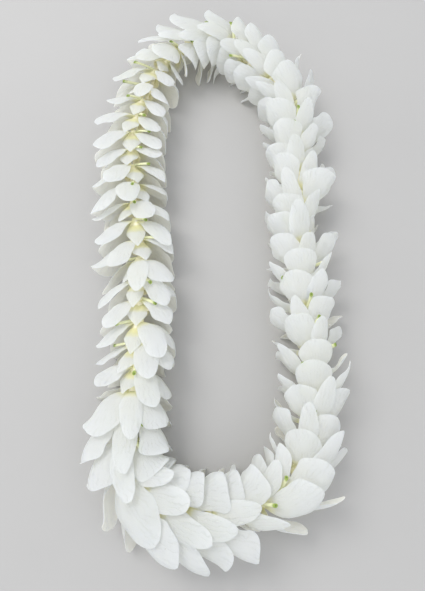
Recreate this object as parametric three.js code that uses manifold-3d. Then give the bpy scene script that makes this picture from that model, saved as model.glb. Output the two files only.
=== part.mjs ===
// A fresh flower lei: white dendrobium blooms strung through their centres on one knotted thread,
// all facing the same way round the loop, lying flat in a long ring.
// Millimetres, +Z up. The lei rests on the plane z = 0, with its middle over the origin.
import * as THREE from "three";
import Module from "manifold-3d";

const wasm = await Module();
wasm.setup();

// Driving dimensions
const BLOOM_COUNT = 56;
const THREAD_HEIGHT = 22.5; // the thread's centre above the surface, into which the soft blooms sink
const THREAD_RADIUS = 0.7;
const THREAD_GAP = 0.4; // between the thread and the hole that it makes in a bloom
const SIDES = 4; // of the thread and of each bloom's core
const CORE = { back: -3.2, front: 9, backRadius: 3.4, frontRadius: 8, throat: 3 };
const HALF_THICKNESS = 0.55; // of a petal at its midrib, from where it thins to its edges
const RIDGE = 0.7; // height of a narrow blade's midrib over its middle surface
const FLAT_BELOW = 0.8; // what lies this near the surface is pressed flat on it
const LEAST_TOP = 0.75; // the upper face of what is pressed flat
const LOWEST_MIDDLE = 0.45; // of the surface halfway through a pressed petal
const FLOOR_SOFTNESS = 0.8;
const INNER_REACH = 29; // towards the middle of the loop, where the bends crowd the blooms
const INNER_SOFTNESS = 1.5;
const KNOT = { radius: 2, at: -5.2, tailRadius: 0.55, tailLength: 7 };
const SEED = 308;

// The thread's route seen from above, counterclockwise, which is also the way the blooms face.
const ROUTE = [
  [70, -41],
  [71, 23],
  [71, 89],
  [60, 159],
  [5, 213],
  [-52, 191],
  [-76, 115],
  [-74, 48],
  [-65, -22],
  [-63, -87],
  [-62, -180],
  [-14, -210],
  [49, -191],
  [73, -131],
];

// Kinds of blade. A lean is the angle between the midrib and the thread, layer is how far forward the
// root is, dome is the radius across the blade, turnIn is how far its tip is turned to face the same
// way as the lip, and outline holds [share of length, share of width].
const SEPAL = {
  length: 38.5,
  width: 15.5,
  rootLean: 100,
  tipLean: 40,
  layer: 0.6,
  dome: 13,
  turnIn: 0,
  outline: [
    [0, 0.16],
    [0.36, 1],
    [0.74, 0.74],
  ],
};
const SIDE_SEPAL = { ...SEPAL, length: 37, width: 16.5, tipLean: 46, turnIn: 36 };
const PETAL = {
  length: 36.5,
  width: 28,
  rootLean: 100,
  tipLean: 42,
  layer: 2,
  dome: 14,
  turnIn: 0,
  lens: true,
  outline: [
    [0, 0.1],
    [0.3, 0.7],
    [0.62, 1],
    [0.87, 0.76],
  ],
};
const LIP = {
  length: 22,
  width: 15,
  rootLean: 74,
  tipLean: 26,
  layer: 2.8,
  dome: 11,
  turnIn: 0,
  outline: [
    [0, 0.2],
    [0.4, 1],
    [0.72, 0.9],
  ],
};
const ROOT_RADIUS = 2.1; // where every blade starts, inside the core
const BEND_BY = 0.62; // the share of its length by which a blade has bent to its tip's lean

// The blades of one bloom, by their angle round the thread from the lip
const BLADES = [
  { kind: SIDE_SEPAL, angle: 55 },
  { kind: SIDE_SEPAL, angle: -55 },
  { kind: SEPAL, angle: 180 },
  { kind: PETAL, angle: 116 },
  { kind: PETAL, angle: -116 },
  { kind: LIP, angle: 0 },
];
const PEDICEL = { radius: 1.3, back: -1.9, front: 1, reach: 22.5, lowReach: 18 };
const DOWNWARD = -0.5; // the cosine of the angle from straight up, below which a part points to the surface

// Along the left side the lips are on top, and elsewhere they are turned under, loosely. The stalk comes
// out on top, at an angle to either side of the lip.
const LIPS_UP = { from: 0.33, to: 0.65, turn: 0, looseness: 30, stalk: 32 };
const LIPS_UNDER = { turn: 165, looseness: 62, stalk: 146 };
const SWEEP = { above: 0.35, belowNodding: 0.35, belowLookingUp: -0.4, softness: 4, change: 0.03 };
// Where the blooms are larger: the share of the way round, how far that spreads, and by how much
const LARGER = [
  { at: 0.74, spread: 0.045, by: 0.32 },
  { at: 0.66, spread: 0.03, by: 0.12 },
  { at: 0.285, spread: 0.03, by: 0.18 },
  { at: 0.49, spread: 0.1, by: 0.16 },
];
// How much each bloom and blade varies either way, in degrees or as a share of its size
const VARY = {
  size: 0.07,
  open: 6,
  tilt: 7,
  angle: 8,
  length: 0.09,
  lean: 9,
  roll: 10,
  sweep: 2,
  reach: 3,
  pedicel: 14,
};
// The top of the lei is pressed lower: above this height over the thread, only a share of it is kept.
const CROWN = { above: 11, softness: 4, keeps: 0.4 };

const radians = THREE.MathUtils.degToRad;
const curve = new THREE.CatmullRomCurve3(
  ROUTE.map(([x, y]) => new THREE.Vector3(x, y, THREAD_HEIGHT)),
  true,
  "catmullrom",
  0.5,
);
curve.arcLengthDivisions = 1400;
const loopLength = curve.getLength();
const pitch = loopLength / BLOOM_COUNT;

// A repeatable random number from -1 to 1 for one feature of one bloom's draw
function vary(bloom, feature) {
  let h = (bloom * 374761393 + feature * 668265263 + SEED) >>> 0;
  h = Math.imul(h ^ (h >>> 15), 2246822519) >>> 0;
  h = Math.imul(h ^ (h >>> 13), 3266489917) >>> 0;
  h = (h ^ (h >>> 16)) >>> 0;
  return h / 2147483648 - 1;
}

// The larger of a value and a limit, with the corner between them rounded
function softAbove(value, limit, softness) {
  return limit + softness * Math.log1p(Math.exp((value - limit) / softness));
}

// How far forward a part of a bloom is swept for its height above or below the thread
function swept(distance, up) {
  const share = THREE.MathUtils.euclideanModulo(distance / loopLength, 1);
  const begun = THREE.MathUtils.smoothstep(share, LIPS_UP.from - SWEEP.change, LIPS_UP.from + SWEEP.change);
  const ended = THREE.MathUtils.smoothstep(share, LIPS_UP.to - SWEEP.change, LIPS_UP.to + SWEEP.change);
  const below = THREE.MathUtils.lerp(SWEEP.belowNodding, SWEEP.belowLookingUp, begun - ended);
  const bend = Math.hypot(up, SWEEP.softness) - SWEEP.softness;
  return ((SWEEP.above + below) / 2) * up + ((SWEEP.above - below) / 2) * bend;
}

// The point at a distance along the thread, so far up and so far out from the loop's middle
function place(distance, up, out) {
  const share = THREE.MathUtils.euclideanModulo((distance + swept(distance, up)) / loopLength, 1);
  const centre = curve.getPointAt(share);
  const ahead = curve.getTangentAt(share);
  const reach = softAbove(out, -INNER_REACH, INNER_SOFTNESS);
  const lowered = (1 - CROWN.keeps) * softAbove(up - CROWN.above, 0, CROWN.softness);
  return new THREE.Vector3(
    centre.x + ahead.y * reach,
    centre.y - ahead.x * reach,
    softAbove(centre.z + up - lowered, LOWEST_MIDDLE, FLOOR_SOFTNESS),
  );
}

// A closed solid from its points and its triangles
function solid(points, triangles) {
  const vertProperties = new Float32Array(points.flatMap((p) => [p.x, p.y, p.z]));
  const triVerts = new Uint32Array(triangles.flat());
  return new wasm.Manifold(new wasm.Mesh({ numProp: 3, vertProperties, triVerts }));
}

// Two triangles for the quad a, b, c, d, split from a to c
function quad(a, b, c, d) {
  return [
    [a, b, c],
    [a, c, d],
  ];
}

// A ring of points round the thread
function ring(distance, radius) {
  return Array.from({ length: SIDES }, (_, side) => {
    const angle = (side * 2 * Math.PI) / SIDES;
    return place(distance, radius * Math.cos(angle), radius * Math.sin(angle));
  });
}

// The triangles that join ring number "from" to ring number "to" in a list of rings
function band(from, to) {
  return Array.from({ length: SIDES }, (_, side) => {
    const next = (side + 1) % SIDES;
    return quad(from * SIDES + side, from * SIDES + next, to * SIDES + next, to * SIDES + side);
  }).flat();
}

// The middle of a bloom, a cup round the thread
function coreSolid(distance) {
  const hole = THREAD_RADIUS + THREAD_GAP;
  const points = [
    ...ring(distance + CORE.back, CORE.backRadius),
    ...ring(distance + CORE.front, CORE.frontRadius),
    ...ring(distance + CORE.throat, hole),
    ...ring(distance + CORE.back, hole),
  ];
  return solid(points, [...band(0, 1), ...band(1, 2), ...band(2, 3), ...band(3, 0)]);
}

// A point on the middle surface of a blade: along runs from 0 to 1 and across is in millimetres.
function bladePoint(distance, blade, along, across) {
  const lean = THREE.MathUtils.lerp(blade.start, blade.end, Math.min(1, along / BEND_BY));
  const radius = (BEND_BY * blade.length) / (blade.end - blade.start);
  const straight = Math.max(0, along - BEND_BY) * blade.length;
  const rise = radius * (Math.cos(blade.start) - Math.cos(lean)) + straight * Math.sin(lean);
  const ahead = radius * (Math.sin(lean) - Math.sin(blade.start)) + straight * Math.cos(lean);
  const drop = across ** 2 / (2 * blade.dome) + across * blade.roll * along;
  const radial = ROOT_RADIUS + rise - drop * Math.cos(lean);
  const sideways = across + blade.sweep * along ** 2;
  const tilted = radial * (blade.tiltUp * Math.cos(blade.angle) + blade.tiltOut * Math.sin(blade.angle));
  return place(
    distance + blade.layer + ahead + tilted + drop * Math.sin(lean),
    radial * Math.cos(blade.angle) - sideways * Math.sin(blade.angle),
    radial * Math.sin(blade.angle) + sideways * Math.cos(blade.angle),
  );
}

// What lies close to the surface is pressed flat on it, and the face above it keeps some height.
function press(point) {
  if (point.z < FLAT_BELOW) point.z = 0;
  return point;
}
function lift(point) {
  point.z = Math.max(point.z, LEAST_TOP);
  return point;
}

// The points round a blade's cross-section, which is a thin lens or a low ridge. A lens can lie flat.
function section(distance, blade, along, half) {
  const step = 0.01;
  const middle = bladePoint(distance, blade, along, 0);
  const lengthways = bladePoint(distance, blade, along + step, 0).sub(middle);
  const sideways = bladePoint(distance, blade, along, 1).sub(bladePoint(distance, blade, along, -1));
  const normal = sideways.cross(lengthways).normalize();
  const left = press(bladePoint(distance, blade, along, -half));
  const right = press(bladePoint(distance, blade, along, half));
  if (!blade.lens) return [left, lift(middle.addScaledVector(normal, RIDGE)), right];
  const outer = middle.clone().addScaledVector(normal, HALF_THICKNESS);
  const inner = middle.clone().addScaledVector(normal, -HALF_THICKNESS);
  return outer.z > inner.z ? [left, lift(outer), right, press(inner)] : [left, press(outer), right, lift(inner)];
}

// One petal, sepal or lip, whose faces meet along its edges and at its tip
function bladeSolid(distance, blade) {
  const rows = blade.outline.map(([along, share]) => section(distance, blade, along, (blade.width * share) / 2));
  const points = [...rows.flat(), press(bladePoint(distance, blade, 1, 0))];
  const count = rows[0].length;
  const last = points.length - 1 - count;
  const triangles = [];
  for (let row = 0; row < last; row += count) {
    const [left, outer, right, inner] = [0, 1, 2, 3].map((k) => row + k);
    const next = (k) => k + count;
    triangles.push(...quad(left, outer, next(outer), next(left)));
    triangles.push(...quad(right, next(right), next(outer), outer));
    if (blade.lens) {
      triangles.push(...quad(right, inner, next(inner), next(right)));
      triangles.push(...quad(left, next(left), next(inner), inner));
    } else {
      triangles.push(...quad(left, next(left), next(right), right));
    }
  }
  for (let k = 0; k < count; k++) {
    triangles.push([last + k, last + ((k + 1) % count), last + count]);
  }
  triangles.push(...(blade.lens ? [[0, 3, 1], [3, 2, 1]] : [[0, 2, 1]]));
  return solid(points, triangles);
}

// The cut flower stalk, which bends out from behind the bloom between its blades and the last bloom's
function pedicelSolid(distance, angle, reach) {
  const corners = [0, 1, 2].map((corner) => (corner * 2 * Math.PI) / 3);
  const end = (ahead, radial) =>
    corners.map((corner) => {
      const sideways = PEDICEL.radius * Math.sin(corner);
      return place(
        distance + ahead + PEDICEL.radius * Math.cos(corner),
        radial * Math.cos(angle) - sideways * Math.sin(angle),
        radial * Math.sin(angle) + sideways * Math.cos(angle),
      );
    });
  const points = [...end(PEDICEL.back, ROOT_RADIUS), ...end(PEDICEL.front, reach)];
  const sides = [0, 1, 2].flatMap((side) => quad(side, side + 3, ((side + 1) % 3) + 3, (side + 1) % 3));
  return solid(points, [[0, 1, 2], ...sides, [3, 5, 4]]);
}

// A whole bloom in one piece: its core, six blades and the stub of its stalk. A draw sets its variation.
function bloomSolid(number, draw) {
  const distance = (number - 1) * pitch;
  const share = distance / loopLength;
  const varied = (feature) => vary(number + BLOOM_COUNT * draw, feature);
  const lips = share > LIPS_UP.from && share < LIPS_UP.to ? LIPS_UP : LIPS_UNDER;
  const loose = varied(1);
  const turn = lips.turn + lips.looseness * loose * (1 + loose ** 2);
  const larger = LARGER.map(({ at, spread, by }) => by * Math.exp(-(((share - at) / spread) ** 2)));
  const size = 1 + VARY.size * varied(2) + larger.reduce((sum, more) => sum + more, 0);
  const open = VARY.open * varied(3);
  const tiltUp = Math.tan(radians(VARY.tilt * varied(6)));
  const tiltOut = Math.tan(radians(VARY.tilt * varied(7)));
  const blades = BLADES.map(({ kind, angle: angleFromLip }, index) => {
    const first = 10 * (index + 1);
    const angle = radians(turn + angleFromLip + VARY.angle * varied(first + 2));
    const turnIn = -kind.turnIn * Math.sign(angleFromLip);
    return bladeSolid(distance, {
      ...kind,
      tiltUp,
      tiltOut,
      lens: kind.lens || Math.cos(angle) < DOWNWARD,
      length: kind.length * size * (1 + VARY.length * varied(first + 1)),
      width: kind.width * size,
      angle,
      start: radians(kind.rootLean),
      end: radians(kind.tipLean + open + VARY.lean * varied(first + 3)),
      roll: Math.sin(radians(turnIn + VARY.roll * varied(first + 4))),
      sweep: VARY.sweep * varied(first + 5),
    });
  });
  const pedicelSide = varied(8) > 0 ? 1 : -1;
  const pedicelAngle = radians(turn + lips.stalk * pedicelSide + VARY.pedicel * varied(4));
  const fullReach = PEDICEL.reach + VARY.reach * varied(5);
  const reach = Math.cos(pedicelAngle) < DOWNWARD ? PEDICEL.lowReach : fullReach;
  const pieces = [...blades, pedicelSolid(distance, pedicelAngle, reach)];
  return pieces.reduce((bloom, piece) => bloom.add(piece), coreSolid(distance));
}

// All the blooms in order. One that would touch a bloom already on the thread takes another draw.
function strungBlooms() {
  const strung = [];
  for (let number = 1; number <= BLOOM_COUNT; number++) {
    let draw = 0;
    let bloom = bloomSolid(number, draw);
    while (strung.some((other) => !bloom.intersect(other).isEmpty())) {
      draw += 1;
      bloom = bloomSolid(number, draw);
    }
    strung.push(bloom);
  }
  return strung;
}

// A closed tube along the whole route, with a ring at each end of each bloom's hole
function threadSolid() {
  const distances = Array.from({ length: BLOOM_COUNT }, (_, n) => [
    n * pitch + CORE.back,
    n * pitch + CORE.throat,
  ]).flat();
  const points = distances.flatMap((distance) => ring(distance, THREAD_RADIUS));
  const triangles = distances.flatMap((_, n) => band(n, (n + 1) % distances.length));
  return solid(points, triangles);
}

// A three.js geometry as a manifold solid
function fromGeometry(geometry, matrix) {
  const moved = geometry.clone().applyMatrix4(matrix);
  const position = moved.attributes.position;
  const keys = new Map();
  const points = [];
  const indexOf = (k) => {
    const point = new THREE.Vector3().fromBufferAttribute(position, k);
    const key = point.toArray().map((value) => value.toFixed(4)).join();
    if (!keys.has(key)) keys.set(key, points.push(point) - 1);
    return keys.get(key);
  };
  const order = moved.index ? [...moved.index.array] : [...Array(position.count).keys()];
  const triangles = [];
  for (let k = 0; k < order.length; k += 3) {
    const triangle = order.slice(k, k + 3).map(indexOf);
    if (new Set(triangle).size === 3) triangles.push(triangle);
  }
  return solid(points, triangles);
}

// The knot that closes the loop, with its two cut tails
function knotSolid() {
  const knotPlace = place(KNOT.at, 0, 0);
  const knot = fromGeometry(
    new THREE.IcosahedronGeometry(KNOT.radius, 1),
    new THREE.Matrix4().setPosition(knotPlace),
  );
  const tail = new THREE.CylinderGeometry(KNOT.tailRadius, KNOT.tailRadius, KNOT.tailLength, SIDES);
  tail.translate(0, KNOT.tailLength / 2, 0);
  const up = new THREE.Vector3(0, 1, 0);
  const aims = [new THREE.Vector3(-0.9, 0.1, 0.5), new THREE.Vector3(0.5, -0.1, 0.8)];
  return aims.reduce((whole, aim) => {
    const turned = new THREE.Matrix4()
      .makeRotationFromQuaternion(new THREE.Quaternion().setFromUnitVectors(up, aim.normalize()))
      .setPosition(knotPlace);
    return whole.add(fromGeometry(tail, turned));
  }, knot);
}

const petalMaterial = new THREE.MeshStandardMaterial({ color: 0xf3f2ea, roughness: 0.55, metalness: 0 });
const threadMaterial = new THREE.MeshStandardMaterial({ color: 0xe6e2d3, roughness: 0.8, metalness: 0 });

function mesh(name, shape, material) {
  const { vertProperties, triVerts } = shape.getMesh();
  const geometry = new THREE.BufferGeometry();
  geometry.setAttribute("position", new THREE.BufferAttribute(vertProperties, 3));
  geometry.setIndex(new THREE.BufferAttribute(triVerts, 1));
  geometry.computeVertexNormals();
  const made = new THREE.Mesh(geometry, material);
  made.name = name;
  return made;
}

const lei = new THREE.Group();
lei.add(mesh("thread", threadSolid().add(knotSolid()), threadMaterial));
strungBlooms().forEach((bloom, index) => {
  lei.add(mesh(`bloom_${String(index + 1).padStart(2, "0")}`, bloom, petalMaterial));
});
const middle = new THREE.Box3().setFromObject(lei).getCenter(new THREE.Vector3());
lei.position.set(-middle.x, -middle.y, 0);

export default lei;
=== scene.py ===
"""A fresh white orchid lei on a pale floor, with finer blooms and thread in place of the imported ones.

Lengths are in millimetres, as in the part's source, until a mesh is made in metres. A bloom is laid out
along the thread: "ahead" is the way that it faces, "up" is +Z, and "out" is away from the loop's middle.
A petal's lean is the angle between its midrib and the thread ahead of it.
"""

import math

import bpy
import numpy as np
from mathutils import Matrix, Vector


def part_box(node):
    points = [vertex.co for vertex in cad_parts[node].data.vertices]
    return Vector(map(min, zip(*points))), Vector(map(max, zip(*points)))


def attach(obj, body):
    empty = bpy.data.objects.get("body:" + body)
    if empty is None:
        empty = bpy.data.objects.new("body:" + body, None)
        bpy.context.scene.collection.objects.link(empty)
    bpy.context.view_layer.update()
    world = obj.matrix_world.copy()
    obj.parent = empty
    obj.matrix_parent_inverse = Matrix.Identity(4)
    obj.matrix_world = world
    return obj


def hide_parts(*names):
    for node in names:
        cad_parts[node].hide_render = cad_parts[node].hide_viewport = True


MM = 0.001

# The part's own dimensions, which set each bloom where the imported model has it
BLOOM_COUNT = 56
THREAD_HEIGHT = 22.5  # the thread's centre above the floor
THREAD_RADIUS = 0.7
THREAD_RINGS = (-3.2, 3)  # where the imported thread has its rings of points, ahead of each bloom's place
LOWEST_MIDDLE = 0.45  # of a petal that is pressed flat on the floor
FLOOR_SOFTNESS = 0.8
INNER_REACH = 29  # towards the middle of the loop
INNER_SOFTNESS = 1.5
ROOT_RADIUS = 2.1  # where every blade starts
KNOT_AT = -5.2
SEED = 308
MOST_DRAWS = 12  # that are tried for a bloom
ROUTE_STEPS = 1400
# The thread's route seen from above, counterclockwise. These points weren't chosen by hand: a program fitted
# them to the photo's outline.
ROUTE = np.array(
    [
        (70, -41),
        (71, 23),
        (71, 89),
        (60, 159),
        (5, 213),
        (-52, 191),
        (-76, 115),
        (-74, 48),
        (-65, -22),
        (-63, -87),
        (-62, -180),
        (-14, -210),
        (49, -191),
        (73, -131),
    ],
    float,
)
# Along the left side the lips are on top, and elsewhere they are turned under.
LIPS_UP = {"from": 0.33, "to": 0.65, "turn": 0, "looseness": 30, "stalk": 32}
LIPS_UNDER = {"turn": 165, "looseness": 62, "stalk": 146}
SWEEP = {"above": 0.35, "nodding": 0.35, "looking_up": -0.4, "softness": 4, "change": 0.03}
# Where the blooms are larger: (share of the way round, how far that spreads, by how much)
LARGER = [(0.74, 0.045, 0.32), (0.66, 0.03, 0.12), (0.285, 0.03, 0.18), (0.49, 0.1, 0.16)]
VARY = {"size": 0.07, "open": 6, "angle": 8, "length": 0.09, "lean": 9, "roll": 10, "sweep": 2, "tilt": 7}
VARY_PEDICEL = {"reach": 3, "angle": 14}
DOWNWARD = -0.5  # the cosine of a stalk's angle, below which it points to the floor
BEND_BY = 0.62  # the share of its length by which a blade has bent to its tip's lean
CROWN = {"above": 11, "softness": 4, "keeps": 0.4}

# Kinds of blade. "outline" is (share of length, share of width), and from "tip" on the blade closes by
# (1 - u ** tip_fall) ** tip_round. "warm" is where the green of the base has faded out.
SEPAL = {
    "length": 38.5,
    "width": 15.5,
    "root_lean": 100,
    "tip_lean": 40,
    "layer": 0.6,
    "dome": 13,
    "turn_in": 0,
    "packed": [(0, 0.16), (0.36, 1), (0.74, 0.74), (1, 0)],
    "outline": [(0, 0.34), (0.18, 0.72), (0.4, 1), (0.6, 0.98), (1, 0.98)],
    "tip": 0.5,
    "tip_fall": 2.1,
    "tip_round": 0.56,
    "warm": (0.08, 0.4),
    "ruffle": 0.55,
    "pleat": 0.2,
    "groove": 0.3,
    "curl": 34,
}
SIDE_SEPAL = SEPAL | {"length": 37, "tip_lean": 46, "turn_in": 36, "width": 16.5}
PETAL = {
    "length": 36.5,
    "width": 28,
    "root_lean": 100,
    "tip_lean": 42,
    "layer": 2,
    "dome": 14,
    "turn_in": 0,
    "packed": [(0, 0.1), (0.3, 0.7), (0.62, 1), (0.87, 0.76), (1, 0)],
    "outline": [(0, 0.16), (0.14, 0.36), (0.34, 0.78), (0.52, 0.97), (0.66, 1.02), (1, 1.02)],
    "tip": 0.6,
    "tip_fall": 2.1,
    "tip_round": 0.5,
    "warm": (0.05, 0.42),
    "ruffle": 1.1,
    "pleat": 0.4,
    "groove": 0.22,
    "curl": 28,
}
LIP = {
    "length": 22,
    "width": 15,
    "root_lean": 74,
    "tip_lean": 26,
    "layer": 2.8,
    "dome": 11,
    "turn_in": 0,
    "packed": [(0, 0.2), (0.4, 1), (0.72, 0.9), (1, 0)],
    "outline": [(0, 0.5), (0.2, 0.72), (0.42, 0.98), (0.6, 1), (1, 0.95)],
    "tip": 0.52,
    "tip_fall": 1.35,
    "tip_round": 0.9,
    "warm": (0.3, 0.62),
    "ruffle": 0.5,
    "pleat": 0.2,
    "groove": 0.5,
    "curl": 18,
}
BLADES = [(SIDE_SEPAL, 55), (SIDE_SEPAL, -55), (SEPAL, 180), (PETAL, 116), (PETAL, -116), (LIP, 0)]
BLADE_ROWS = 22
BLADE_COLUMNS = 15
BLADE_END = 0.996  # the last row, short of the tip's point
HALF_THICKNESS = 0.28
RIB_THICKER = 0.6  # at the root of the midrib, as a share
LOWEST_SURFACE = 0.05
OUTLINE_WOBBLE = 0.045
CURL_FROM = 0.72
DOME_VARIES = 0.18
CREASE_WIDTH = 0.13
EDGE_RIPPLES = 2.3
PLEATS = 8.5

# The throat is a cup round the thread: (millimetres ahead, radius) down its outside and up its inside.
THROAT = [
    (-3.2, 1.1),
    (-3.3, 2.2),
    (-2.8, 3.2),
    (-1, 3.9),
    (3, 5.4),
    (6.5, 6.9),
    (8.9, 7.9),
    (9.1, 7.6),
    (8.2, 6.8),
    (5.6, 4.7),
    (3.6, 2.4),
    (3, 1.1),
]
THROAT_SIDES = 30
THROAT_MOUTH = 8
THROAT_LOBES = 5
LOBE_DEPTH = 0.5
# The column and its cap: (millimetres ahead, radius)
COLUMN = [(2.8, 0.3), (3.2, 1.5), (6, 1.45), (8.6, 1.3), (8.8, 1.75), (9.8, 1.8), (10.8, 1.3), (11.3, 0.2)]
COLUMN_SIDES = 12
COLUMN_OUT = 3.1

PEDICEL = {"back": -1.9, "front": 1, "reach": 22.5, "low_reach": 18, "radius": 1.3}
PEDICEL_ROWS = 12
PEDICEL_SIDES = 14
PEDICEL_BOW = 0.8
# The stalk is cut straight across: (share of its length, share of its radius) of a rim, a paler ring and
# a darker pith that is sunk a little.
CUT = [(1.0, 0.93), (0.996, 0.5), (0.985, 0.05)]
GREEN_ROWS = 2.6  # at the cut end

PLY_TURNS = 3  # from bloom to bloom
PLY_DEPTH = 0.14
THREAD_SIDES = 12
THREAD_STEPS = 28  # from bloom to bloom
KNOT_RADIUS = 1.25
KNOT_STEPS = 72
KNOT_SIDES = 10
TAIL_RADIUS = 0.5
TAIL_LENGTH = 7
TAIL_STEPS = 14
TAIL_SIDES = 8
TAIL_BEND = 0.25
NEARLY_UP = (0.05, 0.03, 1)
TAIL_AIMS = ((-0.9, 0.1, 0.5), (0.5, -0.1, 0.8))


# The thread's route


def spline(share):
    """Points and unit directions at shares of the closed Catmull-Rom route."""
    count = len(ROUTE)
    position = np.mod(share, 1) * count
    index = np.floor(position).astype(int)
    t = (position - index)[..., None]
    before, here, after, beyond = (ROUTE[(index + step) % count] for step in (-1, 0, 1, 2))
    leave = (after - before) / 2
    arrive = (beyond - here) / 2
    square = 3 * (after - here) - 2 * leave - arrive
    cube = 2 * (here - after) + leave + arrive
    point = here + leave * t + square * t**2 + cube * t**3
    slope = leave + 2 * square * t + 3 * cube * t**2
    return point, slope / np.linalg.norm(slope, axis=-1, keepdims=True)


SHARES = np.linspace(0, 1, ROUTE_STEPS + 1)
CHORDS = np.linalg.norm(np.diff(spline(SHARES)[0], axis=0), axis=1)
DISTANCES = np.concatenate([[0], np.cumsum(CHORDS)])
LOOP = DISTANCES[-1]
PITCH = LOOP / BLOOM_COUNT


def route(distance):
    """Points and unit directions at distances along the thread."""
    return spline(np.interp(np.mod(distance, LOOP), DISTANCES, SHARES))


def smooth_step(value, low, high):
    """How far a value is from low to high, from 0 to 1, with a smooth start and end."""
    share = np.clip((value - low) / (high - low), 0, 1)
    return share * share * (3 - 2 * share)


def soft_above(value, limit, softness):
    """The larger of a value and a limit, with the corner between them rounded."""
    return limit + softness * np.logaddexp(0, (value - limit) / softness)


def swept(distance, up):
    """How far forward a part of a bloom is swept for its height above or below the thread."""
    share = np.mod(distance / LOOP, 1)
    change = SWEEP["change"]
    begun = smooth_step(share, LIPS_UP["from"] - change, LIPS_UP["from"] + change)
    ended = smooth_step(share, LIPS_UP["to"] - change, LIPS_UP["to"] + change)
    below = SWEEP["nodding"] + (SWEEP["looking_up"] - SWEEP["nodding"]) * (begun - ended)
    bend = np.hypot(up, SWEEP["softness"]) - SWEEP["softness"]
    return (SWEEP["above"] + below) / 2 * up + (SWEEP["above"] - below) / 2 * bend


def place(distance, up, out):
    """Points at a distance along the thread, so far above it and so far out."""
    centre, ahead = route(distance + swept(distance, up))
    reach = soft_above(out, -INNER_REACH, INNER_SOFTNESS)
    up = up - (1 - CROWN["keeps"]) * soft_above(up - CROWN["above"], 0, CROWN["softness"])
    x = centre[..., 0] + ahead[..., 1] * reach
    y = centre[..., 1] - ahead[..., 0] * reach
    z = soft_above(THREAD_HEIGHT + up, LOWEST_MIDDLE, FLOOR_SOFTNESS)
    return np.stack([x, y, z + 0 * x], axis=-1)


def around(distance, radial, sideways, angle):
    """Points at a radial distance at an angle round the thread from straight up, and off to its side."""
    up = radial * np.cos(angle) - sideways * np.sin(angle)
    out = radial * np.sin(angle) + sideways * np.cos(angle)
    return place(distance, up, out)


def vary(own, feature):
    """A repeatable random number from -1 to 1 for one feature of one bloom's draw, as in the part."""
    mask = 0xFFFFFFFF
    h = (own * 374761393 + feature * 668265263 + SEED) & mask
    h = ((h ^ (h >> 15)) * 2246822519) & mask
    h = ((h ^ (h >> 13)) * 3266489917) & mask
    h ^= h >> 16
    return h / 2147483648 - 1


# Meshes


class Shape:
    """A mesh in the making, with a place and a tint at each point for the materials to read.

    A tint is (green of the base, cream of the inner face, which is painted bounce light, specks,
    shade), and on a stalk its first two parts are the green of the cut end and the dark of the pith.
    """

    def __init__(self):
        self.points = []
        self.faces = []
        self.places = []
        self.tints = []
        self.slots = []
        self.count = 0

    def add(self, points, faces, places, tints, slot=0):
        self.points.append(points.reshape(-1, 3))
        self.places.append(places.reshape(-1, 2))
        self.tints.append(tints.reshape(-1, 4))
        self.faces += (faces + self.count).tolist()
        self.slots += [slot] * len(faces)
        self.count += len(self.points[-1])

    def build(self, name, materials, shift, sharp=50):
        points = (np.concatenate(self.points) + shift) * MM
        mesh = bpy.data.meshes.new(name)
        mesh.from_pydata(points.tolist(), [], self.faces)
        for material in materials:
            mesh.materials.append(material)
        mesh.polygons.foreach_set("material_index", self.slots)
        corners = np.zeros(len(mesh.loops), np.int32)
        mesh.loops.foreach_get("vertex_index", corners)
        layer = mesh.uv_layers.new(name="place")
        layer.data.foreach_set("uv", np.concatenate(self.places)[corners].astype(np.float32).ravel())
        tint = mesh.attributes.new("tint", "FLOAT_COLOR", "POINT")
        tint.data.foreach_set("color", np.concatenate(self.tints).astype(np.float32).ravel())
        mesh.shade_smooth()
        mesh.set_sharp_from_angle(angle=math.radians(sharp))
        piece = bpy.data.objects.new(name, mesh)
        bpy.context.scene.collection.objects.link(piece)
        return piece


def grid_faces(rows, columns, closed=False):
    """Quads between the points of a grid stored row by row, round each row too if it is closed."""
    across = np.arange(columns if closed else columns - 1)
    start = np.arange(rows - 1)[:, None] * columns
    here = start + across
    beside = start + (across + 1) % columns
    return np.stack([here, beside, beside + columns, here + columns], axis=-1).reshape(-1, 4)


def end_to_end(rows, columns):
    """Quads that join the last row of a closed grid to its first."""
    first = np.arange(columns)
    last = (rows - 1) * columns + first
    return np.stack([last, np.roll(last, -1), np.roll(first, -1), first], axis=-1)


def sheet(shape, middle, half, places, outer_tints, inner_tints):
    """Adds a closed thin sheet round a grid of middle points, whose two faces meet at its edges."""
    rows, columns = middle.shape[:2]
    normal = np.cross(np.gradient(middle, axis=1), np.gradient(middle, axis=0))
    normal /= np.linalg.norm(normal, axis=-1, keepdims=True) + 1e-9
    outer = middle + normal * half[..., None]
    inner = middle - normal * half[..., None]
    for face in (outer, inner):
        face[..., 2] = np.maximum(face[..., 2], LOWEST_SURFACE)
    inside = np.zeros((rows, columns), bool)
    inside[1:-1, 1:-1] = True
    numbers = np.arange(rows * columns).reshape(rows, columns)
    numbers[inside] = rows * columns + np.arange(inside.sum())
    quads = grid_faces(rows, columns)
    faces = np.concatenate([quads, numbers.ravel()[quads[:, ::-1]]])
    points = np.concatenate([outer.reshape(-1, 3), inner[inside]])
    spots = np.concatenate([places.reshape(-1, 2), places[inside]])
    tints = np.concatenate([outer_tints.reshape(-1, 4), inner_tints[inside]])
    shape.add(points, faces, spots, tints)


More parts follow.
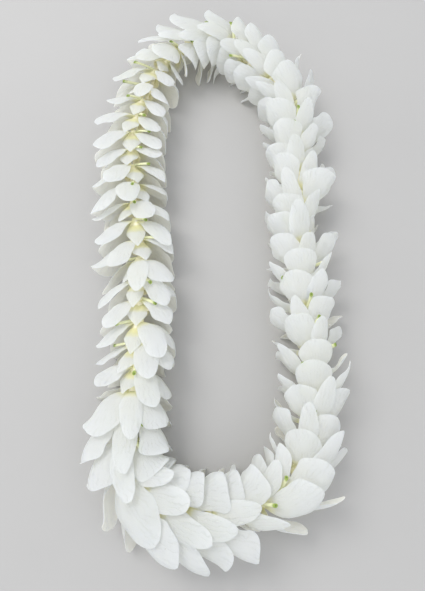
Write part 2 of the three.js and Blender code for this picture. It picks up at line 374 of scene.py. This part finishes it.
def turned(shape, profile, sides, where, tint_at, slot, closed=False):
    """Adds a form turned from a profile, whose rings where() places, joined end to end if it is closed."""
    angles = np.linspace(0, 2 * math.pi, sides, endpoint=False)
    rows = len(profile)
    points = np.stack([where(ahead, radius, angles) for ahead, radius in profile])
    share = np.linspace(0, 1, rows)[:, None] + 0 * angles
    places = np.stack([share, angles / math.pi + 0 * share], axis=-1)
    tints = tint_at(share, angles + 0 * share)
    faces = grid_faces(rows, sides, closed=True)
    if closed:
        faces = np.concatenate([faces, end_to_end(rows, sides)])
    shape.add(points, faces, places, tints, slot)


# Blooms


def blade_width(kind, along):
    """The share of a blade's half width at each share of its length."""
    stations, widths = zip(*kind["outline"])
    body = np.interp(along, stations, widths)
    for _ in range(2):
        body = np.convolve(np.pad(body, 1, mode="edge"), [0.25, 0.5, 0.25], mode="valid")
    toward_tip = np.clip((along - kind["tip"]) / (1 - kind["tip"]), 0, 1)
    return body * (1 - toward_tip ** kind["tip_fall"]) ** kind["tip_round"]


def bloom_traits(number, draw):
    """Where a bloom is and how it is turned, sized and opened. The draw picks its own variation."""
    distance = (number - 1) * PITCH
    share = distance / LOOP
    own = number + BLOOM_COUNT * draw
    lips = LIPS_UP if LIPS_UP["from"] < share < LIPS_UP["to"] else LIPS_UNDER
    loose = vary(own, 1)
    size = 1 + VARY["size"] * vary(own, 2)
    for at, spread, by in LARGER:
        size += by * math.exp(-(((share - at) / spread) ** 2))
    return {
        "own": own,
        "distance": distance,
        "turn": lips["turn"] + lips["looseness"] * loose * (1 + loose**2),
        "stalk": lips["stalk"],
        "size": size,
        "opened": VARY["open"] * vary(own, 3),
    }


def blade_form(bloom, index, finer):
    """A blade's middle surface, as (points, shares of its length, shares across, angle, fan of its veins).

    With finer = 0 it is as in the part, and with finer = 1 it has a rounder outline, a curl and folds.
    Each vary() of a number under 100 is the part's own, and those above are for the finer form alone.
    """
    own = bloom["own"]
    kind, from_lip = BLADES[index]
    first = 10 * (index + 1)
    own_folds = 100 + first
    length = kind["length"] * bloom["size"] * (1 + VARY["length"] * vary(own, first + 1))
    half_width = kind["width"] * bloom["size"] / 2
    angle = math.radians(bloom["turn"] + from_lip + VARY["angle"] * vary(own, first + 2))
    start = math.radians(kind["root_lean"])
    end = math.radians(kind["tip_lean"] + bloom["opened"] + VARY["lean"] * vary(own, first + 3))
    turn_in = -math.copysign(kind["turn_in"], from_lip)
    roll = math.sin(math.radians(turn_in + VARY["roll"] * vary(own, first + 4)))
    sweep = VARY["sweep"] * vary(own, first + 5)

    along = BLADE_END * np.sin(np.linspace(0, math.pi / 2, BLADE_ROWS))[:, None]
    share = np.sin(np.linspace(-math.pi / 2, math.pi / 2, BLADE_COLUMNS))[None, :]
    outline = blade_width(kind, along[:, 0]) if finer else np.interp(along[:, 0], *zip(*kind["packed"]))
    uneven = np.sin(7 * along + 2 * share + 3.1 * vary(own, own_folds + 7))
    wobble = 1 + finer * OUTLINE_WOBBLE * uneven
    across = share * half_width * outline[:, None] * wobble

    # The midrib bends evenly from root to tip, and the last of it curls a little more or less.
    curl = finer * math.radians(kind["curl"]) * vary(own, own_folds + 1)
    lean = start + (end - start) * np.minimum(1, along / BEND_BY)
    lean = lean + curl * smooth_step(along, CURL_FROM, 1) * along
    step = np.diff(along, axis=0) * length
    middle_lean = (lean[1:] + lean[:-1]) / 2
    zero = np.zeros((1, 1))
    rise = ROOT_RADIUS + np.concatenate([zero, np.cumsum(np.sin(middle_lean) * step, axis=0)])
    ahead = kind["layer"] + np.concatenate([zero, np.cumsum(np.cos(middle_lean) * step, axis=0)])

    # Its section is domed, with a crease down the midrib, low pleats and a ripple along the edges.
    dome = kind["dome"] * (1 + DOME_VARIES * finer * vary(own, own_folds + 2))
    grown = smooth_step(along, 0.08, 0.35)
    crease = kind["groove"] * np.exp(-((share / CREASE_WIDTH) ** 2)) * grown * (1 - 0.7 * along)
    phase = 3.1 * vary(own, own_folds + 4)
    pleats = kind["pleat"] * np.cos(PLEATS * share + phase) * grown * smooth_step(1 - along, 0, 0.3)
    wave = np.sin(2 * math.pi * (EDGE_RIPPLES * along + share / 3) + phase)
    ripple = kind["ruffle"] * (1 + 0.5 * vary(own, own_folds + 3)) * np.abs(share) ** 3 * wave
    folds = crease + pleats + ripple * smooth_step(along, 0.15, 0.6)
    drop = across**2 / (2 * dome) + across * roll * along + finer * folds

    radial = rise - drop * np.cos(lean)
    sideways = across + sweep * along**2
    tilt_up = math.tan(math.radians(VARY["tilt"] * vary(own, 6)))
    tilt_out = math.tan(math.radians(VARY["tilt"] * vary(own, 7)))
    tilted = radial * (tilt_up * math.cos(angle) + tilt_out * math.sin(angle))
    middle = around(bloom["distance"] + ahead + tilted + drop * np.sin(lean), radial, sideways, angle)
    return middle, along, share, angle, across / (length * (along + 0.22))


def add_blade(shape, bloom, index):
    """Adds a blade that is thickest along the root half of its midrib and thins to its edges and tip."""
    kind = BLADES[index][0]
    middle, along, share, angle, fan = blade_form(bloom, index, finer=1)
    rib = RIB_THICKER * np.exp(-((share / 0.2) ** 2)) * (1 - along)
    half = HALF_THICKNESS * (1 - share**6) * (1 + rib)
    half = half * np.minimum(1, (1 - along) * 12 + 0.3)

    flat = 0 * middle[..., 0]
    places = np.stack([along + flat, fan], axis=-1)
    warm = 1 - smooth_step(along + 0.06 * np.abs(share), *kind["warm"])
    # Inner faces are cream, and blades that hang below the thread take a little of it on their outer faces:
    # painted bounce light for the hollows and the underside, which lie in shade.
    low = smooth_step(-np.cos(angle), 0.1, 0.9)
    specks = 0.5 + 0.5 * vary(bloom["own"], 105 + 10 * (index + 1))
    shade = 0.5 + 0.5 * vary(bloom["own"], 106 + 10 * (index + 1))
    outer_tints = np.stack([warm + flat, 0.12 * low + flat, specks + flat, shade + flat], axis=-1)
    inner_tints = np.stack([warm + flat, 1 + flat, specks + flat, shade + flat], axis=-1)
    sheet(shape, middle, half, places, outer_tints, inner_tints)


def add_throat(shape, bloom):
    """Adds the cup round the thread, whose mouth has five low lobes, one of them in line with the lip."""
    turn = math.radians(bloom["turn"])

    def where(ahead, radius, angles):
        lobes = np.cos(THROAT_LOBES * (angles - turn))
        r = radius * (1 + LOBE_DEPTH * (radius / THROAT_MOUTH) ** 2 * lobes / radius)
        return place(bloom["distance"] + ahead + 0 * angles, r * np.cos(angles), r * np.sin(angles))

    def tint_at(share, angles):
        warm = 0.75 + 0.25 * np.cos(share * 2 * math.pi)
        return np.stack([warm, 0.4 + 0 * share, 0.3 + 0 * share, 0.5 + 0 * share], axis=-1)

    turned(shape, THROAT, THROAT_SIDES, where, tint_at, slot=1, closed=True)


def add_column(shape, bloom):
    """Adds the column that stands in the throat across the thread from the lip, with its cap."""
    angle = math.radians(bloom["turn"] + 180)

    def where(ahead, radius, angles):
        out = COLUMN_OUT + radius * np.cos(angles)
        return around(bloom["distance"] + ahead + 0 * angles, out, radius * np.sin(angles), angle)

    def tint_at(share, angles):
        warm = 0.6 * (1 - smooth_step(share, 0.5, 0.7))
        return np.stack([warm, 0.5 + 0 * share, 0 * share, 0.7 + 0 * share], axis=-1)

    turned(shape, COLUMN, COLUMN_SIDES, where, tint_at, slot=1)


def add_pedicel(shape, bloom):
    """Adds the cut stub of the bloom's stalk, which comes out to one side or the other of the lip."""
    own = bloom["own"]
    side = 1 if vary(own, 8) > 0 else -1
    angle = math.radians(bloom["turn"] + side * bloom["stalk"] + VARY_PEDICEL["angle"] * vary(own, 4))
    reach = PEDICEL["reach"] + VARY_PEDICEL["reach"] * vary(own, 5)
    if math.cos(angle) < DOWNWARD:
        reach = PEDICEL["low_reach"]
    bow = PEDICEL_BOW * vary(own, 201)
    along = np.linspace(0, 1, PEDICEL_ROWS)
    radii = PEDICEL["radius"] * (1.15 - 0.22 * np.sin(math.pi * along * 0.9))
    profile = [(share, radius) for share, radius in zip(along, radii)]
    profile += [(share, radii[-1] * part) for share, part in CUT]

    def where(share, radius, angles):
        ahead = PEDICEL["back"] + (PEDICEL["front"] - PEDICEL["back"]) * share
        distance = bloom["distance"] + ahead + radius * np.cos(angles)
        rise = ROOT_RADIUS + (reach - ROOT_RADIUS) * share
        sideways = bow * math.sin(math.pi * share) + radius * np.sin(angles)
        return around(distance, rise + 0 * angles, sideways, angle)

    def tint_at(share, angles):
        row = share * (len(profile) - 1)
        end = smooth_step(row, PEDICEL_ROWS - GREEN_ROWS, PEDICEL_ROWS - 1)
        pith = smooth_step(row, PEDICEL_ROWS, PEDICEL_ROWS + 2)
        return np.stack([end, pith, 0.3 + 0 * share, 0.5 + 0 * share], axis=-1)

    turned(shape, profile, PEDICEL_SIDES, where, tint_at, slot=2)


def packed_draw(number, shift):
    """The draw of a packed bloom. The part takes another where blooms would touch, so its box tells."""
    packed = np.array([list(corner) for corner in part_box(f"bloom_{number:02d}")]) / MM

    def misfit(draw):
        bloom = bloom_traits(number, draw)
        blades = [blade_form(bloom, index, finer=0)[0] for index in range(len(BLADES))]
        points = np.concatenate([blade.reshape(-1, 3) for blade in blades]) + shift
        return np.abs(np.array([points.min(axis=0), points.max(axis=0)]) - packed).sum()

    return min(range(MOST_DRAWS), key=misfit)


def bloom_shape(number, draw):
    """A whole bloom. Its blades have the first material, its throat the second and its stalk the third."""
    bloom = bloom_traits(number, draw)
    shape = Shape()
    for index in range(len(BLADES)):
        add_blade(shape, bloom, index)
    add_throat(shape, bloom)
    add_column(shape, bloom)
    add_pedicel(shape, bloom)
    return shape


# Thread


def tube(shape, path, radius_at, sides, closed):
    """Adds a tube along a path of points, whose radius depends on the share of the way and the angle."""
    ahead = np.gradient(path, axis=0)
    if closed:
        ahead = np.roll(path, -1, axis=0) - np.roll(path, 1, axis=0)
    ahead /= np.linalg.norm(ahead, axis=1, keepdims=True)
    side = np.cross(ahead, NEARLY_UP)
    side /= np.linalg.norm(side, axis=1, keepdims=True)
    over = np.cross(side, ahead)
    angles = np.linspace(0, 2 * math.pi, sides, endpoint=False)
    share = np.linspace(0, 1, len(path), endpoint=not closed)[:, None]
    radius = radius_at(share, angles)[..., None]
    ring = side[:, None] * np.cos(angles)[:, None] + over[:, None] * np.sin(angles)[:, None]
    points = path[:, None] + ring * radius
    faces = grid_faces(len(path), sides, closed=True)
    if closed:
        faces = np.concatenate([faces, end_to_end(len(path), sides)])
    places = np.stack([share + 0 * angles, angles / (2 * math.pi) + 0 * share], axis=-1)
    tints = np.ones(places.shape[:2] + (4,))
    shape.add(points, faces, places, tints)


def thread_shape():
    """The twisted thread's loop, its knot, which is a trefoil, and its two tails."""
    shape = Shape()
    steps = BLOOM_COUNT * THREAD_STEPS
    path = place(np.linspace(0, LOOP, steps, endpoint=False), np.zeros(steps), np.zeros(steps))

    def plies(share, angles):
        twist = 2 * math.pi * PLY_TURNS * BLOOM_COUNT * share
        return THREAD_RADIUS * (1 - PLY_DEPTH + PLY_DEPTH * np.cos(2 * angles - twist))

    tube(shape, path, plies, THREAD_SIDES, closed=True)

    knot_centre = place(np.array([KNOT_AT]), np.zeros(1), np.zeros(1))[0]
    turn = np.linspace(0, 2 * math.pi, KNOT_STEPS, endpoint=False)
    knot = np.stack(
        [
            0.55 * np.sin(3 * turn),
            (np.sin(turn) + 2 * np.sin(2 * turn)) / 2.4,
            (np.cos(turn) - 2 * np.cos(2 * turn)) / 2.4,
        ],
        axis=-1,
    )
    tube(shape, knot_centre + KNOT_RADIUS * knot, even, KNOT_SIDES, closed=True)
    for aim in TAIL_AIMS:
        way = np.array(aim) / np.linalg.norm(aim)
        reach = np.linspace(0, TAIL_LENGTH, TAIL_STEPS)[:, None]
        bend = TAIL_BEND * np.sin(reach * 0.8) * np.cross(way, (0, 0, 1))
        tube(shape, knot_centre + reach * way + bend, frayed, TAIL_SIDES, closed=False)
    return shape


def even(share, angles):
    """The same radius all along the knot."""
    return TAIL_RADIUS + 0 * share * angles


def frayed(share, angles):
    """A tail's radius, which opens a little at its cut end and closes there."""
    open_end = 1 + 0.25 * smooth_step(share, 0.75, 0.95)
    ends = np.sqrt(np.clip(1 - ((share - 0.5) * 2) ** 16, 0, 1))
    return TAIL_RADIUS * open_end * ends + 0 * angles


# Materials


class Nodes:
    """Makes nodes and links in one material."""

    def __init__(self, name):
        self.material = bpy.data.materials.new(name)
        self.material.use_nodes = True
        self.tree = self.material.node_tree
        self.tree.nodes.clear()

    def new(self, kind, inputs=None, **settings):
        node = self.tree.nodes.new(kind)
        for key, value in settings.items():
            setattr(node, key, value)
        for key, value in (inputs or {}).items():
            self.set(node.inputs[key], value)
        return node

    def set(self, socket, value):
        if isinstance(value, bpy.types.NodeSocket):
            self.tree.links.new(value, socket)
        else:
            socket.default_value = value

    def math(self, operation, first, second=0.0):
        return self.new("ShaderNodeMath", {0: first, 1: second}, operation=operation).outputs[0]

    def mix(self, share, first, second):
        node = self.new("ShaderNodeMix", data_type="RGBA")
        self.set(node.inputs[0], share)
        self.set(node.inputs[6], first)
        self.set(node.inputs[7], second)
        return node.outputs[2]

    def ramp(self, value, low, high):
        node = self.new("ShaderNodeMapRange", {0: value, 1: low, 2: high}, interpolation_type="SMOOTHSTEP")
        return node.outputs[0]

    def noise(self, vector, scale, detail=3.0, rough=0.5):
        inputs = {"Vector": vector, "Scale": scale, "Detail": detail, "Roughness": rough}
        return self.new("ShaderNodeTexNoise", inputs).outputs["Fac"]

    def tint(self):
        """The four parts of a point's tint."""
        attribute = self.new("ShaderNodeAttribute", attribute_name="tint")
        parts = self.new("ShaderNodeSeparateColor", {0: attribute.outputs["Color"]})
        return parts.outputs[0], parts.outputs[1], parts.outputs[2], attribute.outputs["Alpha"]

    def place(self):
        """A point's place on its piece: the share of its length, and where it lies across."""
        layer = self.new("ShaderNodeUVMap", uv_map="place")
        parts = self.new("ShaderNodeSeparateXYZ", {0: layer.outputs[0]})
        return parts.outputs[0], parts.outputs[1]

    def finish(self, shader):
        output = self.new("ShaderNodeOutputMaterial")
        self.set(output.inputs[0], shader)
        return self.material


# Colours, and the largest share of some of them that is mixed in
PETAL_WHITE = (0.855, 0.88, 0.96, 1)
PETAL_SHADE = (0.77, 0.80, 0.85, 1)
# The throat's own cream, which on the petals' inner faces is painted bounce light for the shaded hollows
CREAM_AND_PAINTED_BOUNCE = (1.0, 0.94, 0.755, 1)
PAINTED_BOUNCE_SHARE = 0.85
PETAL_LIT_THROUGH = (0.99, 1.0, 0.995, 1)
LIT_THROUGH_SHARE = 0.75
TRANSLUCENT_SHARE = 0.69
BASE_GREEN = (0.90, 0.87, 0.52, 1)
BASE_DEEP = (0.80, 0.79, 0.36, 1)
SPECK_GREY = (0.45, 0.44, 0.38, 1)
SPECK_SHARE = 0.55
VEIN_GREY = (0.70, 0.715, 0.72, 1)
VEIN_SHARE = 0.32
VEINS_ACROSS = 13
STALK_CREAM = (0.74, 0.76, 0.50, 1)
CUT_GREEN = (0.27, 0.36, 0.07, 1)
PITH_DARK = (0.10, 0.14, 0.03, 1)
THROAT_STREAKS = 20
STALK_RIBS = 6
THREAD_WHITE = (0.80, 0.79, 0.72, 1)
# A grey mottle on the thread, and its painted shade in the grooves between the fibres
THREAD_GREY_AND_PAINTED_SHADE = (0.52, 0.50, 0.44, 1)
PALE_FLOOR = (0.45, 0.44, 0.43, 1)
FLOOR_FLECK = (0.42, 0.41, 0.40, 1)


def petal_material():
    """Waxy white petals that light comes through: green at the root, veined and specked, and cream inside.

    The cream inside is painted light: a lighter, warmer colour that stands for the light bounced into the
    shaded hollows.
    """
    nodes = Nodes("white_petal")
    spot = nodes.new("ShaderNodeTexCoord").outputs["Object"]
    green, inside, specks, shade = nodes.tint()
    along, fan = nodes.place()

    clouds = nodes.noise(spot, 90.0)
    colour = nodes.mix(nodes.math("MULTIPLY", clouds, shade), PETAL_WHITE, PETAL_SHADE)
    # Painted bounce light: the inner faces, and a little of the blades below the thread, turn a lighter,
    # warmer cream.
    colour = nodes.mix(nodes.math("MULTIPLY", inside, PAINTED_BOUNCE_SHARE), colour, CREAM_AND_PAINTED_BOUNCE)

    # Veins fan out from the root and fade in and out along their way.
    wander = nodes.math("MULTIPLY", nodes.noise(spot, 160.0, 2.0), 0.16)
    phase = nodes.math("MULTIPLY", nodes.math("ADD", fan, wander), VEINS_ACROSS)
    line = nodes.math("SINE", nodes.math("MULTIPLY", phase, 2 * math.pi))
    veins = nodes.ramp(line, 0.45, 1.0)
    veins = nodes.math("MULTIPLY", veins, nodes.ramp(nodes.noise(spot, 110.0, 1.0), 0.3, 0.7))
    colour = nodes.mix(nodes.math("MULTIPLY", veins, VEIN_SHARE), colour, VEIN_GREY)

    grain = nodes.noise(spot, 520.0, 2.0)
    patch = nodes.math("MULTIPLY", nodes.ramp(grain, 0.68, 0.76), nodes.ramp(specks, 0.55, 1.0))
    colour = nodes.mix(nodes.math("MULTIPLY", patch, SPECK_SHARE), colour, SPECK_GREY)

    uneven = nodes.math("ADD", green, nodes.math("MULTIPLY", nodes.noise(spot, 140.0), 0.3))
    root = nodes.ramp(nodes.math("MULTIPLY", uneven, nodes.ramp(green, 0.0, 0.4)), 0.1, 1.15)
    colour = nodes.mix(root, colour, nodes.mix(nodes.ramp(along, 0.2, 0.0), BASE_GREEN, BASE_DEEP))

    relief = nodes.math("ADD", nodes.math("MULTIPLY", veins, -1.4), nodes.noise(spot, 900.0, 2.0))
    bump = nodes.new("ShaderNodeBump", {"Strength": 0.4, "Distance": 0.0004, "Height": relief})
    rough = nodes.math("ADD", 0.4, nodes.math("MULTIPLY", clouds, 0.2))
    waxy = nodes.new(
        "ShaderNodeBsdfPrincipled",
        {
            "Base Color": colour,
            "Roughness": rough,
            "Normal": bump.outputs[0],
            "Subsurface Weight": 0.12,
            "Subsurface Scale": 0.002,
            "Subsurface Radius": (1.0, 0.9, 0.55),
            "Specular IOR Level": 0.35,
            "Sheen Weight": 0.08,
        },
    )
    lit_through = nodes.mix(LIT_THROUGH_SHARE, colour, PETAL_LIT_THROUGH)
    thin = nodes.new("ShaderNodeBsdfTranslucent", {"Color": lit_through, "Normal": bump.outputs[0]})
    shaders = {0: TRANSLUCENT_SHARE, 1: waxy.outputs[0], 2: thin.outputs[0]}
    return nodes.finish(nodes.new("ShaderNodeMixShader", shaders).outputs[0])


def throat_material():
    """The yellow-green flesh of the throat and column, deeper in its hollow, with fine pale streaks."""
    nodes = Nodes("green_throat")
    spot = nodes.new("ShaderNodeTexCoord").outputs["Object"]
    green = nodes.tint()[0]
    turn = nodes.place()[1]
    streaks = nodes.math("SINE", nodes.math("MULTIPLY", turn, math.pi * THROAT_STREAKS))
    streaks = nodes.math("MULTIPLY", nodes.ramp(streaks, 0.2, 1.0), nodes.noise(spot, 300.0))
    depth = nodes.math("ADD", green, nodes.math("MULTIPLY", nodes.noise(spot, 180.0), 0.3))
    colour = nodes.mix(nodes.ramp(depth, 0.5, 1.3), CREAM_AND_PAINTED_BOUNCE, BASE_GREEN)
    colour = nodes.mix(nodes.math("MULTIPLY", streaks, 0.5), colour, CREAM_AND_PAINTED_BOUNCE)
    bump = nodes.new("ShaderNodeBump", {"Strength": 0.3, "Distance": 0.0004, "Height": streaks})
    flesh = nodes.new(
        "ShaderNodeBsdfPrincipled",
        {
            "Base Color": colour,
            "Roughness": nodes.math("ADD", 0.38, nodes.math("MULTIPLY", streaks, 0.2)),
            "Normal": bump.outputs[0],
            "Subsurface Weight": 0.15,
            "Subsurface Scale": 0.002,
            "Subsurface Radius": (1.0, 0.9, 0.4),
            "Specular IOR Level": 0.4,
        },
    )
    return nodes.finish(flesh.outputs[0])


def stalk_material():
    """A pale stalk that turns green at its cut end, where the pith is dark."""
    nodes = Nodes("cut_stalk")
    spot = nodes.new("ShaderNodeTexCoord").outputs["Object"]
    end, pith = nodes.tint()[:2]
    turn = nodes.place()[1]
    grain = nodes.noise(spot, 400.0)
    ribs = nodes.math("SINE", nodes.math("MULTIPLY", turn, math.pi * STALK_RIBS))
    colour = nodes.mix(nodes.math("MULTIPLY", grain, 0.4), STALK_CREAM, BASE_GREEN)
    colour = nodes.mix(nodes.ramp(nodes.math("ADD", end, grain), 0.4, 1.3), colour, CUT_GREEN)
    colour = nodes.mix(nodes.ramp(pith, 0.2, 0.9), colour, PITH_DARK)
    relief = nodes.math("ADD", nodes.math("MULTIPLY", ribs, 0.3), grain)
    bump = nodes.new("ShaderNodeBump", {"Strength": 0.35, "Distance": 0.0003, "Height": relief})
    skin = nodes.new(
        "ShaderNodeBsdfPrincipled",
        {
            "Base Color": colour,
            "Roughness": nodes.math("ADD", 0.4, nodes.math("MULTIPLY", grain, 0.25)),
            "Normal": bump.outputs[0],
            "Specular IOR Level": 0.4,
        },
    )
    return nodes.finish(skin.outputs[0])


def thread_material():
    """Twisted cotton with a random grey mottle, and painted shade between the fibres, where their relief is
    low.
    """
    nodes = Nodes("cotton_thread")
    spot = nodes.new("ShaderNodeTexCoord").outputs["Object"]
    fibres = nodes.noise(spot, 2600.0, 4.0, 0.7)
    fuzz = nodes.noise(spot, 700.0)
    # Painted shade: the colour darkens where the fibres' relief is low, in the grooves between them.
    colour = nodes.mix(nodes.ramp(fibres, 0.35, 0.65), THREAD_GREY_AND_PAINTED_SHADE, THREAD_WHITE)
    colour = nodes.mix(nodes.math("MULTIPLY", fuzz, 0.25), colour, THREAD_GREY_AND_PAINTED_SHADE)
    bump = nodes.new("ShaderNodeBump", {"Strength": 0.6, "Distance": 0.0002, "Height": fibres})
    cotton = nodes.new(
        "ShaderNodeBsdfPrincipled",
        {
            "Base Color": colour,
            "Roughness": nodes.math("ADD", 0.75, nodes.math("MULTIPLY", fuzz, 0.2)),
            "Normal": bump.outputs[0],
            "Sheen Weight": 0.2,
        },
    )
    return nodes.finish(cotton.outputs[0])


def floor_material():
    nodes = Nodes("pale_floor")
    spot = nodes.new("ShaderNodeTexCoord").outputs["Object"]
    fleck = nodes.noise(spot, 6.0, 5.0)
    colour = nodes.mix(fleck, PALE_FLOOR, FLOOR_FLECK)
    matt = nodes.new("ShaderNodeBsdfPrincipled", {"Base Color": colour, "Roughness": 0.85})
    return nodes.finish(matt.outputs[0])


# Camera, lights and floor

LENS = 27.4
SENSOR = 36
CAMERA_PLACE = (-1.6, -151.5, 376.7)
CAMERA_TILT = 17  # degrees from straight down
FLOOR_SIDE_M = 12
SKY_COLOUR = (0.93, 0.96, 1, 1)
SKY_STRENGTH = 1.045
# Soft lights that face the middle of the lei, in metres and watts
LIGHTS = {
    "soft_window": {"place": (-0.9, 0.7, 1.5), "size": 1.1, "watts": 18, "colour": (1, 0.995, 0.985)},
    "soft_fill": {"place": (0.15, -1.5, 0.8), "size": 1.4, "watts": 3, "colour": (1, 1, 0.98)},
}


def add_camera():
    data = bpy.data.cameras.new("photo_camera")
    data.lens = LENS
    data.sensor_width = SENSOR
    data.sensor_fit = "AUTO"
    data.clip_start = 0.01
    camera = bpy.data.objects.new("photo_camera", data)
    camera.location = np.array(CAMERA_PLACE) * MM
    camera.rotation_euler = (math.radians(CAMERA_TILT), 0, 0)
    bpy.context.scene.collection.objects.link(camera)
    bpy.context.scene.camera = camera


def add_light(name, lamp):
    data = bpy.data.lights.new(name, "AREA")
    data.shape = "DISK"
    data.size = lamp["size"]
    data.energy = lamp["watts"]
    data.color = lamp["colour"]
    light = bpy.data.objects.new(name, data)
    light.location = lamp["place"]
    x, y, z = lamp["place"]
    light.rotation_euler = (math.atan2(math.hypot(x, y), z), 0, math.atan2(-y, -x) - math.pi / 2)
    bpy.context.scene.collection.objects.link(light)


def add_floor():
    half = FLOOR_SIDE_M / 2
    mesh = bpy.data.meshes.new("floor")
    corners = [(-half, -half, 0), (half, -half, 0), (half, half, 0), (-half, half, 0)]
    mesh.from_pydata(corners, [], [(0, 1, 2, 3)])
    mesh.materials.append(floor_material())
    floor = bpy.data.objects.new("floor", mesh)
    bpy.context.scene.collection.objects.link(floor)


def add_sky():
    world = bpy.data.worlds.new("overcast")
    world.use_nodes = True
    background = world.node_tree.nodes["Background"]
    background.inputs["Color"].default_value = SKY_COLOUR
    background.inputs["Strength"].default_value = SKY_STRENGTH
    bpy.context.scene.world = world
    bpy.context.scene.view_settings.view_transform = "Standard"


# The scene

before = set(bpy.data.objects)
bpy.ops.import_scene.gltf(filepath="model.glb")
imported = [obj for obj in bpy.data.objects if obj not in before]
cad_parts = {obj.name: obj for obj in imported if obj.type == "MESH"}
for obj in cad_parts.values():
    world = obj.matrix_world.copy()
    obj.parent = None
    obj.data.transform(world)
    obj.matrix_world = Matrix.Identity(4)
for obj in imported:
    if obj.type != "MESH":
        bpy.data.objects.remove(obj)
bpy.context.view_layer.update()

add_camera()
add_floor()
add_sky()
for name, lamp in LIGHTS.items():
    add_light(name, lamp)

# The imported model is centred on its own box, so the route is moved as far as its thread was.
rings = np.concatenate([np.arange(BLOOM_COUNT) * PITCH + offset for offset in THREAD_RINGS])
low_corner = np.array(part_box("thread")[0]) / MM
own_low = route(rings)[0].min(axis=0) - THREAD_RADIUS
shift = np.array([low_corner[0] - own_low[0], low_corner[1] - own_low[1], 0])

petals = [petal_material(), throat_material(), stalk_material()]
for number in range(1, BLOOM_COUNT + 1):
    shape = bloom_shape(number, packed_draw(number, shift))
    piece = shape.build(f"fresh_bloom_{number:02d}", petals, shift)
    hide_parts(f"bloom_{number:02d}")
    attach(piece, "root")

cotton = thread_shape().build("cotton_thread", [thread_material()], shift, sharp=80)
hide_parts("thread")
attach(cotton, "root")
